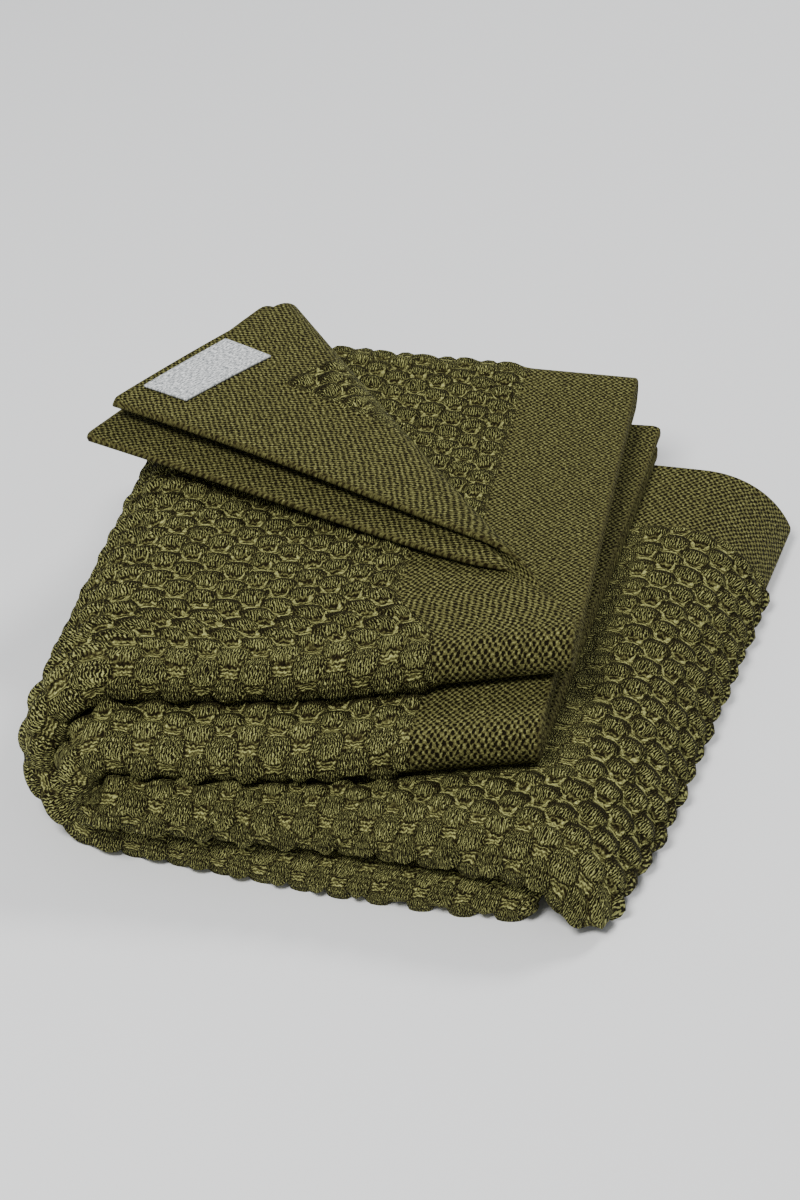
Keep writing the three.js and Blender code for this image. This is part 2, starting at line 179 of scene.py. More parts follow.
# One sheet rolls over the slanting line on a cone from the apex, then settles back flat.
def rollBack(roll, level, flat, lain):
    swing, reach, share = swingAt(flat[0], flat[1])
    gx, gy = math.cos(apex["direction"]), math.sin(apex["direction"])
    radius = roll["radius"] + roll["widening"] * reach
    offset = flat[2] - level
    angle = np.clip(swing * reach / radius, 0, math.pi)
    beyond = np.maximum(swing - math.pi * radius / reach, 0)
    width = reach * np.sin(beyond)
    settled = roll["spring"] + (1 - roll["spring"]) * np.exp(-(width / roll["settle"])**2)
    crown = roll["crown"] * np.sin(np.clip(width / roll["crownWidth"], 0, 1) * math.pi)
    over = beyond > 0
    along = np.where(over, reach * np.cos(beyond), reach)
    across = np.where(over, -width, (radius - offset) * np.sin(angle))
    rise = np.where(over, roll["restHeight"] + (2 * radius - roll["restHeight"]) * settled + crown - offset,
                    radius - (radius - offset) * np.cos(angle))
    fade = np.exp(-np.maximum(swing, 0) * reach / apex["blend"])
    rolled = (apex["x"] + along * gx + across * gy + (lain[0] - flat[0]) * fade,
              apex["y"] + along * gy - across * gx + (lain[1] - flat[1]) * fade,
              level + rise + (lain[2] - flat[2]) * fade)
    return [np.where(swing > 0, lain[k] + (rolled[k] - lain[k]) * share, lain[k]) for k in range(3)]


# Knit coordinate across: true length from the side edge above and from the middle below, so that
# the columns of all layers stand in line, and the difference between the layers goes into the turn.
# The third front fold takes its columns from the layer over it.
def acrossKnit(u, seg, r, upper):
    half = cloth["width"] / 2
    turn = math.pi * r
    low = lowerLength(r)
    s = np.minimum(u, cloth["width"] - u) * (upper + turn + low) / half
    start = half - np.where(seg == 5, lowerLength(np.full_like(r, cloth["pitch"] / 2)), low)
    across = (np.minimum(s, upper) + np.clip(s - upper, 0, turn) * (start - upper) / turn
              + np.maximum(s - upper - turn, 0))
    return np.where(u > half, cloth["width"] - across, across)


# Point of the folded cloth in mm: half fold, pleats, route round the left turn, then the roll back.
# offset is its height over the middle of the cloth, on the pair's outer face.
def foldedPoint(u, v, offset):
    p = cloth["pitch"]
    width = cloth["width"]
    c = cloth["corner"]
    u, v, offset = np.broadcast_arrays(np.asarray(u, float), np.asarray(v, float), np.asarray(offset, float))
    cut = c - np.sqrt(np.maximum(c * c - np.maximum(c - np.minimum(u, width - u), 0)**2, 0))
    blend = cloth["cornerBlend"]
    row = v + cut * (np.clip(1 - v / blend, 0, 1) - np.clip(1 - (cloth["length"] - v) / blend, 0, 1))
    flatPart = width / 2 - math.pi * p / 4
    turned = np.clip((u - flatPart) / (p / 2), 0, math.pi)
    along = np.clip(np.minimum(u, width - u), 0, flatPart) + p / 2 * np.sin(turned)
    side = p / 2 * np.cos(turned)
    sideAt = side + offset * np.cos(turned)
    seg, t, r, depth = pleat(row, side)
    rAt = pleat(row, sideAt)[2]
    slip = slipOf(seg, side, depth)
    x, z, position, plainX, plainZ, upper = route(along, offset * np.sin(turned), slip, r, rAt)
    y = pleatY(seg, t, sideAt, position)
    flat = (plainX, y, plainZ)
    near = 1 - smooth(depth, 0, cloth["frontDepth"])
    growth = near * smooth(x, *cloth["growthX"])
    z = (z + np.maximum(z - halfHeight, 0) * cloth["frontGrowth"] * growth
         + growth * cloth["frontLift"] * smooth(z, cloth["liftFrom"] * halfHeight, halfHeight))
    lower = (position > 1.5).astype(float)
    drawn = cloth["frontCornerDraw"] * smooth(-y, *cloth["cornerDrawY"])**2
    fanned = cloth["fanSlope"] * (y - cloth["fanCentreY"]) - drawn
    x = x + lower * fanned * smooth(x, cloth["turnX"], cloth["fanToX"])
    y = y + lower * cloth["frontFan"] * smooth(x, *cloth["frontFanX"]) * near
    lain = (x, y, z)
    top = (seg == 0) & (position < 2)
    outer = rollBack(rolls["outer"], halfHeight + 7.5 * p, flat, lain)
    inner = rollBack(rolls["inner"], halfHeight + 6.5 * p, flat, lain)
    points = [np.where(top, np.where(sideAt > 0, outer[k], inner[k]), lain[k]) for k in range(3)]
    across = acrossKnit(u, seg, r, upper)
    return np.stack(points, -1), dict(seg=seg, t=t, position=position, depth=depth, flat=flat,
                                      lain=lain, side=side, across=across)


# The raised knit, in mm: pads in a staggered lattice, and how far the folds stretch it.
knit = dict(border=45.0, padAcross=17.8, padDown=12.4, padHalfWidth=5.8, padHalfLength=4.5, padHeight=3.3,
            lean=0.55, foldStretch=1.6, foldFade=12.0, wander=1.3, wanderWaves=(31.0, 43.0, 37.0),
            uneven=0.14)


# Knit coordinate down: length along v, which runs faster on the arcs, where the knit is drawn tight.
def knitDown(v):
    arc = math.pi * cloth["pitch"]
    first, second, third = cloth["pleats"]
    ends = np.cumsum([0, first, arc, second, arc, third, arc, 400.0])
    lengths = np.array([first, arc * knit["foldStretch"], second, arc * knit["foldStretch"], third,
                        arc * knit["foldStretch"], 400.0])
    return np.interp(v, ends, np.concatenate([[0], np.cumsum(lengths)]))


# Knit coordinates, each moved a little by slow sine waves so that no row is quite straight.
def knitAt(across, v):
    down = knitDown(v)
    downWave, acrossWave, slowWave = knit["wanderWaves"]
    return (across + knit["wander"] * np.sin(down / downWave + 0.7) * np.sin(across / acrossWave),
            down + knit["wander"] * np.sin(across / slowWave + 1.3))


# Which end of the pads stands up: the one that comes nearer to the eye as the pile lies.
def leanAt(info):
    half = 1 - 2 * smooth(info["position"], 1.2, 1.8)
    whole = np.ones_like(half)
    return np.choose(info["seg"], [whole, half, -whole, 0 * whole, whole, half, -whole])


# Pads: domes sqrt(1 - x^2 - y^2) in a staggered lattice, times 1 + lean y, so each is higher at one end.
def padRelief(u, v, lean, knitPlace):
    a, b = knitPlace
    across, down = knit["padAcross"], knit["padDown"]
    domes = []
    for shift in (0.0, 0.5):
        x = (a / across + shift - np.round(a / across + shift)) * across / knit["padHalfWidth"]
        y = (b / down + shift - np.round(b / down + shift)) * down / knit["padHalfLength"]
        domes.append(np.sqrt(np.clip(1 - x * x - y * y, 0, 1)) * (1 + knit["lean"] * lean * y))
    change = 1 + knit["uneven"] * np.sin(u * 0.23 + 1.1) * np.sin(knitDown(v) * 0.31 + u * 0.11)
    return knit["padHeight"] * np.maximum(domes[0], domes[1]) * change


# Where pads find room, each from none to full: mm of roll, position round the pile, part of a fold,
# mm past the end or over the front fold of the layers above.
padSpace = dict(roll=(4, 12), underFlap=(1.72, 1.95), flapFace=(30, 42), foldEnd=0.3, foldTail=(0.3, 0.8),
                tailFrom=1.9, pastEnd=(-2, 9), endSlope=12, overFront=(1, 8), ledge=(1, 7), ledgeTo=1.6,
                pastBorder=(-2, 4))


# Room on the outer face: tops, the left turn, the round of each fold, and the bared layers,
# each a product of eased steps.
def padRoom(u, v, info):
    edge = np.minimum(np.minimum(u, cloth["width"] - u), np.minimum(v, cloth["length"] - v))
    seg, t, position, depth, side = (info[k] for k in ("seg", "t", "position", "depth", "side"))
    swing, reach, share = swingAt(info["flat"][0], info["flat"][1])
    rolled = smooth(swing * reach, *padSpace["roll"]) * share
    aSheet = side > 0
    top = position < 2
    lowX = info["lain"][0]
    room = np.zeros_like(u * 1.0)
    notUnder = 1 - smooth(position, *padSpace["underFlap"])
    overApex = np.where(swing > 0, 0.0, 1.0) * np.where(top, notUnder, 0)
    room = np.where((seg == 0) & aSheet, overApex, room)
    room = np.where((seg == 0) & ~aSheet & top, smooth(swing * reach, *padSpace["flapFace"]), room)
    room = np.where((seg == 2) & ~aSheet & (position < 1), rolled, room)
    fromEnd = smooth(1 - t, 0, padSpace["foldEnd"])
    tail = np.where(position > padSpace["tailFrom"], smooth(1 - t, *padSpace["foldTail"]), 1)
    opened = np.where(seg == 1, fromEnd * tail, smooth(t, 0, padSpace["foldEnd"]) * fromEnd)
    foldFace = ((seg == 1) | (seg == 5)) & aSheet | (seg == 3) & ~aSheet
    room = np.where(foldFace, opened, room)
    upperRun = cloth["rightEndX"] - cloth["turnX"]
    frontAbove = lieCurve(np.clip((cloth["rightEndX"] - lowX) / upperRun, 0, 1), "front34")
    low, high = padSpace["pastEnd"]
    end = cloth["rightEndX"] + padSpace["endSlope"] * depth
    bared = np.maximum(smooth(lowX, end + low, end + high),
                       smooth(frontAbove - info["lain"][1], *padSpace["overFront"]))
    room = np.where((seg == 6) & aSheet & (position > 2), bared, room)
    ledge = smooth(lieCurve(position, "front12") - info["lain"][1], *padSpace["ledge"])
    room = np.where((seg == 4) & aSheet & (position < padSpace["ledgeTo"]), ledge, room)
    low, high = padSpace["pastBorder"]
    return room * smooth(edge, knit["border"] + low, knit["border"] + high)


# Stations along runs of (from, to, step).
def steps(*runs):
    parts = [np.linspace(a, b, max(int(round((b - a) / step)), 1), endpoint=False) for a, b, step in runs]
    return np.concatenate(parts + [[runs[-1][1]]])


# Triangles between two rows of stations, joined in the order in which the stations come.
def zipRows(here, after, first, second):
    order = np.argsort(np.concatenate([here[1:], after[1:]]), kind="stable")
    isHere = order < len(here) - 1
    i = np.concatenate([[0], np.cumsum(isHere)[:-1]])
    k = np.concatenate([[0], np.cumsum(~isHere)[:-1]])
    nextHere = first[np.minimum(i + 1, len(here) - 1)]
    nextAfter = second[np.minimum(k + 1, len(after) - 1)]
    third = np.where(isHere, nextHere, nextAfter)
    return np.stack([first[i], third, second[k]], -1)


# Spacing of the mesh in mm, and the places in u and v where it changes.
mesh = dict(fine=2.0, bare=2.3, fold=1.75, hidden=12.0, turn=8.0, strip=2.4, hiddenFold=2.6, backFold=2.6,
            turnFrom=140, turnTo=260, farTurnFrom=540, farTurnTo=660, farBareFrom=640, topTo=262,
            lowFrom=280, frontFrom=150, stripTo=176, stripDown=214)


# Bands of rows of one face, each with its own stations: fine where the face can be seen.
def faceBands(outer):
    arc = math.pi * cloth["pitch"]
    first, second, third = cloth["pleats"]
    w, half, length, e = cloth["width"], cloth["width"] / 2, cloth["length"], cloth["edgeRound"]
    a = np.cumsum([0, first, arc, second, arc, third, arc])
    f, b, fold, hid, turn = (mesh[k] for k in ("fine", "bare", "fold", "hidden", "turn"))
    edge = [(0, 0.5, 0.5), (0.5, e, 0.45), (e, 4, 1.3)]
    farEdge = [(w - 4, w - e, 1.3), (w - e, w - 0.5, 0.45), (w - 0.5, w, 0.5)]
    lastEdge = [(length - 4, length - e, 1.3), (length - e, length - 0.5, 0.45), (length - 0.5, length, 0.5)]
    mid = [(half - 8, half - 4, 2), (half - 4, half + 4, 1), (half + 4, half + 8, 2)]
    nearTurn = [(4, mesh["turnFrom"], hid), (mesh["turnFrom"], mesh["turnTo"], turn),
                (mesh["turnTo"], half - 8, hid)]
    farHidden = [(half + 8, mesh["farTurnFrom"], hid), (mesh["farTurnFrom"], mesh["farTurnTo"], turn),
                 (mesh["farTurnTo"], w - 4, hid)]
    farBare = [(half + 8, mesh["farTurnFrom"], hid), (mesh["farTurnFrom"], mesh["farBareFrom"], turn),
               (mesh["farBareFrom"], w - 4, b)]
    top, low, front, strip = mesh["topTo"], mesh["lowFrom"], mesh["frontFrom"], mesh["stripTo"]
    hiddenU = steps(*edge, *nearTurn, *mid, *farHidden, *farEdge)
    if outer:
        topU = steps(*edge, (4, top, f), (top, half - 8, hid), *mid, *farBare, *farEdge)
        foldU = steps(*edge, (4, half - 8, f), *mid, (half + 8, w - 4, 6), *farEdge)
        bareU = steps(*edge, *nearTurn, *mid, *farBare, *farEdge)
        backU = steps(*edge, (4, half - 8, 8), *mid, (half + 8, w - 4, mesh["backFold"]), *farEdge)
        lowU = steps(*edge, (4, mesh["turnFrom"], hid), (mesh["turnFrom"], low, turn), (low, half - 8, b),
                     *mid, *farHidden, *farEdge)
        ledgeU = steps(*edge, (4, top, b), (top, half - 8, hid), *mid, *farHidden, *farEdge)
        frontU = steps(*edge, (4, front, hid), (front, half - 8, b), *mid, *farHidden, *farEdge)
        return [(steps(*edge, (4, a[1] - 6, f)), topU), (steps((a[1] - 4, a[2], fold)), foldU),
                (steps((a[2] + 2, a[2] + 8, 3)), foldU), (steps((a[2] + 11, a[3] - 6, b)), bareU),
                (steps((a[3] - 3, a[4] + 3, fold)), backU), (steps((a[4] + 8, a[5] - 46, 14)), hiddenU),
                (steps((a[5] - 40, a[5] - 4, b)), ledgeU), (steps((a[5] - 2, a[6] + 3, fold)), foldU),
                (steps((a[6] + 5, a[6] + 52, b)), frontU),
                (steps((a[6] + 55, length - 4, b), *lastEdge), lowU)]
    stripU = steps(*edge, (4, strip, mesh["strip"]), (strip, mesh["turnTo"], turn),
                   (mesh["turnTo"], half - 8, hid), *mid, *farHidden, *farEdge)
    down, wide = mesh["stripDown"], mesh["hiddenFold"]
    return [(steps(*edge, (4, down, mesh["strip"])), stripU), (steps((down + 6, a[1] - 2, 10)), hiddenU),
            (steps((a[1], a[2], wide)), hiddenU), (steps((a[2] + 4, a[3] - 4, hid)), hiddenU),
            (steps((a[3], a[4], wide)), hiddenU), (steps((a[4] + 4, a[5] - 4, hid)), hiddenU),
            (steps((a[5], a[6], wide)), hiddenU), (steps((a[6] + 4, length - 4, hid), *lastEdge), hiddenU)]


# Half the cloth's thickness, which runs out in a quarter round at its four edges.
def halfThickness(u, v):
    edge = np.minimum(np.minimum(u, cloth["width"] - u), np.minimum(v, cloth["length"] - v))
    e = cloth["edgeRound"]
    roundOff = np.sqrt(np.clip(1 - (1 - np.clip(edge / e, 0, 1))**2, 0, 1))
    return cloth["thickness"] / 2 * (cloth["edgeShare"] + (1 - cloth["edgeShare"]) * roundOff)


# One face: rows of points with their triangles, and the numbers of its rim points.
def faceOfCloth(outer, start):
    rows = [(v, u) for vs, u in faceBands(outer) for v in vs]
    us = np.concatenate([u for v, u in rows])
    vs = np.concatenate([np.full(len(u), v) for v, u in rows])
    firsts = start + np.concatenate([[0], np.cumsum([len(u) for v, u in rows])])
    half = halfThickness(us, vs)
    info = foldedPoint(us, vs, half)[1]
    lean = leanAt(info)
    knitPlace = knitAt(info["across"], vs)
    room = np.ones_like(us)
    if outer:
        room = padRoom(us, vs, info)
        points = foldedPoint(us, vs, half + padRelief(us, vs, lean, knitPlace) * room)[0]
    else:
        points = foldedPoint(us, vs, -half)[0]
    points[:, 2] = np.maximum(points[:, 2], 0)
    numbers = [np.arange(firsts[j], firsts[j + 1]) for j in range(len(rows))]
    triangles = np.concatenate([zipRows(rows[j][1], rows[j + 1][1], numbers[j], numbers[j + 1])
                                for j in range(len(rows) - 1)])
    if not outer:
        triangles = triangles[:, ::-1]
    rim = dict(firstRow=numbers[0], lastRow=numbers[-1], u0=rows[0][1], u1=rows[-1][1],
               left=np.array([n[0] for n in numbers]), right=np.array([n[-1] for n in numbers]),
               v=np.array([v for v, u in rows]))
    arc = math.pi * cloth["pitch"]
    arcs = np.cumsum([part for run in cloth["pleats"] for part in (run, arc)]).reshape(3, 2)
    fromArc = np.min([np.maximum(low - vs, vs - high) for low, high in arcs], axis=0)
    onFold = np.maximum(1 - smooth(fromArc, 0, knit["foldFade"]), 1 - room)
    return points, np.stack(knitPlace, -1), us, vs, triangles, rim, lean, onFold


# A mesh object from points in mm, triangles and knit coordinates in metres.
def makeObject(name, points, triangles, uv):
    data = bpy.data.meshes.new(name)
    data.vertices.add(len(points))
    data.vertices.foreach_set("co", (np.asarray(points, np.float32) / 1000).ravel())
    data.loops.add(triangles.size)
    data.loops.foreach_set("vertex_index", triangles.ravel().astype(np.int32))
    data.polygons.add(len(triangles))
    data.polygons.foreach_set("loop_start", np.arange(0, triangles.size, 3, dtype=np.int32))
    data.polygons.foreach_set("use_smooth", np.ones(len(triangles), bool))
    layer = data.uv_layers.new(name="knit")
    layer.data.foreach_set("uv", np.asarray(uv, np.float32)[triangles.ravel()].ravel())
    data.update(calc_edges=True)
    obj = bpy.data.objects.new(name, data)
    bpy.context.scene.collection.objects.link(obj)
    return obj


# The blanket: both faces of the cloth and the rim that closes them.
def makeBlanket():
    outer = faceOfCloth(True, 0)
    inner = faceOfCloth(False, len(outer[0]))
    points = np.concatenate([outer[0], inner[0]]) + place
    uv = np.concatenate([outer[1], inner[1]]) / 1000
    us = np.concatenate([outer[2], inner[2]])
    vs = np.concatenate([outer[3], inner[3]])
    o, n = outer[5], inner[5]
    rims = [zipRows(n["u0"], o["u0"], n["firstRow"], o["firstRow"]),
            zipRows(o["u1"], n["u1"], o["lastRow"], n["lastRow"]),
            zipRows(o["v"], n["v"], o["left"], n["left"]),
            zipRows(n["v"], o["v"], n["right"], o["right"])]
    triangles = np.concatenate([outer[4], inner[4]] + rims)
    edge = np.minimum(np.minimum(us, cloth["width"] - us), np.minimum(vs, cloth["length"] - vs))
    obj = makeObject("knittedBlanket", points, triangles, uv)
    lean = np.concatenate([outer[6], inner[6]])
    onFold = np.concatenate([outer[7], inner[7]])
    for name, values in (("edgeDistance", edge), ("lean", lean), ("onFold", onFold)):
        layer = obj.data.attributes.new(name, "FLOAT", "POINT")
        layer.data.foreach_set("value", values.astype(np.float32))
    corners = points[triangles]
    volume = np.einsum("ij,ij->i", corners[:, 0], np.cross(corners[:, 1], corners[:, 2])).sum() / 6000
    print("blanket", len(triangles), "triangles", round(volume), "cm3")
    return obj


blanket = makeBlanket()

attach(blanket, "root")
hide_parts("blanket")

# Felt label on the face of the turned-back corner that looks up.
label = dict(width=45.0, height=22.5, thickness=0.9, fromSide=13.5, fromEdge=5.5, gap=0.35, step=1.0)


# The label: the folded cloth's own surface, lifted by the gap below and by the thickness more above.
def makeLabel():
    u = cloth["width"] - label["fromSide"] - label["width"] + steps((0, label["width"], label["step"]))
    v = label["fromEdge"] + steps((0, label["height"], label["step"]))
    grid = np.meshgrid(u, v)
    base = cloth["thickness"] / 2 + label["gap"]
    low = foldedPoint(grid[0].ravel(), grid[1].ravel(), np.full(grid[0].size, base))[0]
    high = foldedPoint(grid[0].ravel(), grid[1].ravel(), np.full(grid[0].size, base + label["thickness"]))[0]
    n, m = len(u), len(v)
    numbers = np.arange(n * m).reshape(m, n)
    top = np.concatenate([zipRows(u, u, numbers[j] + n * m, numbers[j + 1] + n * m) for j in range(m - 1)])
    bottom = np.concatenate([zipRows(u, u, numbers[j], numbers[j + 1]) for j in range(m - 1)])[:, ::-1]
    sides = [zipRows(u, u, numbers[0], numbers[0] + n * m), zipRows(u, u, numbers[-1] + n * m, numbers[-1]),
             zipRows(v, v, numbers[:, 0] + n * m, numbers[:, 0]),
             zipRows(v, v, numbers[:, -1], numbers[:, -1] + n * m)]
    triangles = np.concatenate([top, bottom] + sides)
    uv = np.stack([np.tile(grid[0].ravel(), 2), np.tile(grid[1].ravel(), 2)], -1) / 1000
    return makeObject("feltLabel", np.concatenate([low, high]) + place, triangles, uv)


feltLabel = makeLabel()
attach(feltLabel, "root")
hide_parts("label")
print("label built")


# sRGB hex to linear: c / 12.92 below 0.04045, else ((c + 0.055) / 1.055)^2.4.
def toLinear(code):
    c = np.array([int(code[i:i + 2], 16) for i in (1, 3, 5)]) / 255
    c = np.where(c <= 0.04045, c / 12.92, ((c + 0.055) / 1.055)**2.4)
    return tuple(float(x) for x in c) + (1.0,)


# Adds a node: settings are its properties, inputs its sockets by name or number, as a value or a link.
def addNode(tree, kind, inputs, **settings):
    new = tree.nodes.new(kind)
    for name, value in settings.items():
        setattr(new, name, value)
    for key, value in inputs.items():
        if isinstance(value, bpy.types.NodeSocket):
            tree.links.new(value, new.inputs[key])
        else:
            new.inputs[key].default_value = value
    return new.outputs[0] if len(new.outputs) else new


# An empty material and its node tree.
def startMaterial(name):
    material = bpy.data.materials.new(name)
    material.use_nodes = True
    material.node_tree.nodes.clear()
    return material, material.node_tree


# Yarn colours from the gaps to the brightest loops, and stitch sizes in mm. The two darkest colours are
# painted shade for the gaps.
cotton = dict(gapShade="#120d03", dark="#2a2410", olive="#5a5831", bright="#a5a565",
              waleWidth=1.55, stitchLength=1.7, floatPitch=1.15, mossAcross=2.3, mossDown=3.0,
              stitchNoise=3.0, fibreSize=0.8, bumpHeight=0.0013)


